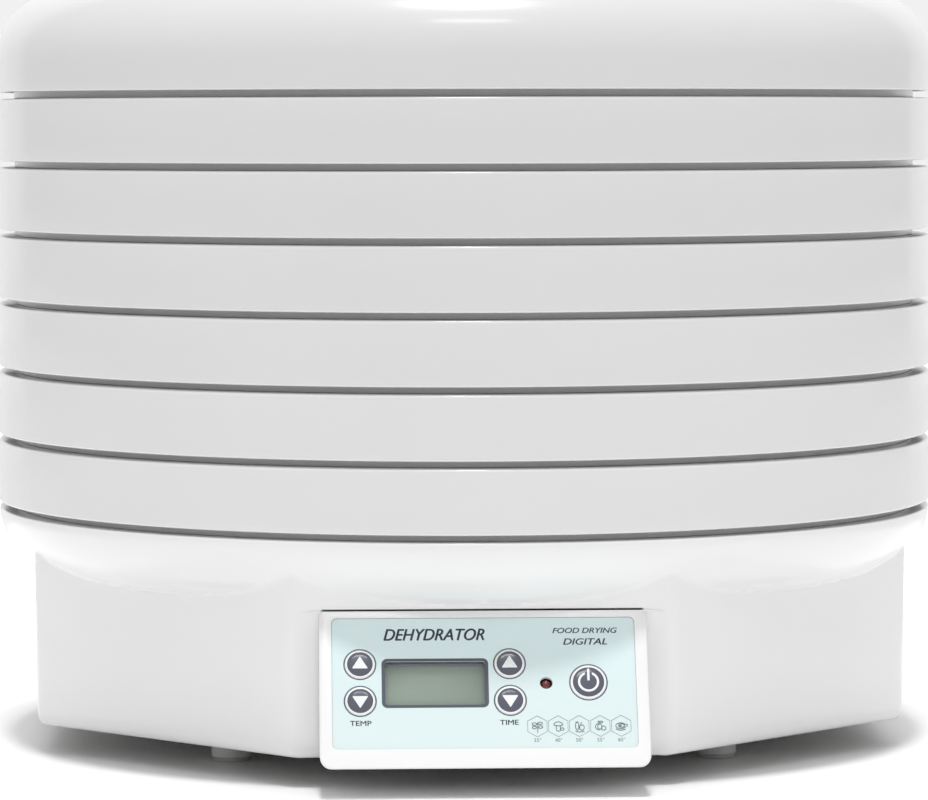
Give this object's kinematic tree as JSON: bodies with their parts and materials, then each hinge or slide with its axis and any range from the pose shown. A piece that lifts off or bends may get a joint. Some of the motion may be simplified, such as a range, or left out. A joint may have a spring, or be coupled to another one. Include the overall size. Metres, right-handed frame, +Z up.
{
  "type": "food dehydrator",
  "caption": "Round stacking food dehydrator with drying trays, a domed lid and an eight-sided fan-and-heater base with a sloping key panel.",
  "frame": {"origin": "on the surface it stands on, under the axis of the tray stack", "axes": "+Z up along the axis of the stack, -Y towards the control console, +X to the right of a person who faces the console"},
  "size_m": [0.394, 0.4066, 0.3122],
  "materials": {
    "white_shell": "glossy",
    "white_tray": "glossy",
    "cover_plastic": "satin",
    "foot_plastic": "satin",
    "pad_rubber": "matte",
    "grommet_rubber": "matte",
    "screw_steel": "zinc plated",
    "gland_nylon": "satin",
    "terminal_nylon": "satin",
    "circuit_board": "glossy",
    "components": "satin",
    "sink_aluminium": "ribbed",
    "bracket_steel": "zinc plated",
    "lamination_steel": "laminated",
    "copper_winding": "enamelled wire",
    "bush_bronze": "sintered",
    "rotor_steel": "ground",
    "fan_plastic": "satin",
    "plate_steel": "galvanised",
    "ceramic": "unglazed",
    "heater_wire": "oxidised",
    "sensor_black": "satin",
    "fuse_sleeve": "woven glass",
    "mint_label": "printed, semi-gloss",
    "key_slate": "glossy",
    "switch_black": "satin",
    "lcd_frame": "glossy",
    "lcd_glass": "semi-gloss",
    "clear_window": "clear, glossy",
    "led_red": "glossy",
    "wire_insulation": "satin"
  },
  "bodies": {
    "base": {"base_housing": "white_shell", "bottom_cover": "cover_plastic", "cover_screws": "screw_steel", "feet": "foot_plastic", "foot_pads": "pad_rubber", "foot_screws": "screw_steel", "cord_gland": "gland_nylon", "terminal_block": "terminal_nylon", "power_board": "circuit_board", "power_parts": "components", "heat_sink": "sink_aluminium", "motor_bracket": "bracket_steel", "motor_grommets": "grommet_rubber", "motor_end_lower": "bracket_steel", "motor_stator": "lamination_steel", "motor_windings": "copper_winding", "motor_end_upper": "bracket_steel", "motor_bushes": "bush_bronze", "heat_plate": "plate_steel", "plate_screws": "screw_steel", "heater_insulators": "ceramic", "heater_coil_lower": "heater_wire", "heater_coil_upper": "heater_wire", "thermostat": "bracket_steel", "thermal_fuse": "fuse_sleeve", "air_sensor": "sensor_black", "air_deck": "white_tray", "deck_screws": "screw_steel", "fan_guard": "white_tray", "console": "white_shell", "console_screws": "screw_steel", "label_sheet": "mint_label", "tact_switches": "switch_black", "control_board": "circuit_board", "board_screws": "screw_steel", "lcd_carrier": "lcd_frame", "lcd_display": "lcd_glass", "lcd_window": "clear_window", "status_led": "led_red", "wiring": "wire_insulation"},
    "tray_1": {"tray_1": "white_tray"},
    "tray_2": {"tray_2": "white_tray"},
    "tray_3": {"tray_3": "white_tray"},
    "tray_4": {"tray_4": "white_tray"},
    "tray_5": {"tray_5": "white_tray"},
    "tray_6": {"tray_6": "white_tray"},
    "lid": {"lid": "white_tray"},
    "rotor": {"rotor_shaft": "rotor_steel", "fan_impeller": "fan_plastic", "fan_nut": "screw_steel"},
    "key_temp_up": {"key_temp_up": "key_slate"},
    "key_temp_down": {"key_temp_down": "key_slate"},
    "key_time_up": {"key_time_up": "key_slate"},
    "key_time_down": {"key_time_down": "key_slate"},
    "key_power": {"key_power": "key_slate"}
  },
  "joints": [
    {"name": "fan_spin", "type": "hinge", "parent": "base", "child": "rotor", "pos_m": [0, 0, 0.05], "axis": [0, 0, 1], "continuous": true},
    {"name": "tray_6_lift", "type": "slide", "parent": "base", "child": "tray_6", "axis": [0, 0, 1], "range_m": [0, 0.06]},
    {"name": "tray_5_lift", "type": "slide", "parent": "tray_6", "child": "tray_5", "axis": [0, 0, 1], "range_m": [0, 0.06]},
    {"name": "tray_4_lift", "type": "slide", "parent": "tray_5", "child": "tray_4", "axis": [0, 0, 1], "range_m": [0, 0.06]},
    {"name": "tray_3_lift", "type": "slide", "parent": "tray_4", "child": "tray_3", "axis": [0, 0, 1], "range_m": [0, 0.06]},
    {"name": "tray_2_lift", "type": "slide", "parent": "tray_3", "child": "tray_2", "axis": [0, 0, 1], "range_m": [0, 0.06]},
    {"name": "tray_1_lift", "type": "slide", "parent": "tray_2", "child": "tray_1", "axis": [0, 0, 1], "range_m": [0, 0.06]},
    {"name": "lid_lift", "type": "slide", "parent": "tray_1", "child": "lid", "axis": [0, 0, 1], "range_m": [0, 0.1]},
    {"name": "key_temp_up_press", "type": "slide", "parent": "base", "child": "key_temp_up", "axis": [0, 0.8829, -0.4695], "range_m": [0, 0.0004], "stiffness_N_per_m": 2500, "springref_m": -0.0002},
    {"name": "key_temp_down_press", "type": "slide", "parent": "base", "child": "key_temp_down", "axis": [0, 0.8829, -0.4695], "range_m": [0, 0.0004], "stiffness_N_per_m": 2500, "springref_m": -0.0002},
    {"name": "key_time_up_press", "type": "slide", "parent": "base", "child": "key_time_up", "axis": [0, 0.8829, -0.4695], "range_m": [0, 0.0004], "stiffness_N_per_m": 2500, "springref_m": -0.0002},
    {"name": "key_time_down_press", "type": "slide", "parent": "base", "child": "key_time_down", "axis": [0, 0.8829, -0.4695], "range_m": [0, 0.0004], "stiffness_N_per_m": 2500, "springref_m": -0.0002},
    {"name": "key_power_press", "type": "slide", "parent": "base", "child": "key_power", "axis": [0, 0.8829, -0.4695], "range_m": [0, 0.0004], "stiffness_N_per_m": 2500, "springref_m": -0.0002}
  ]
}
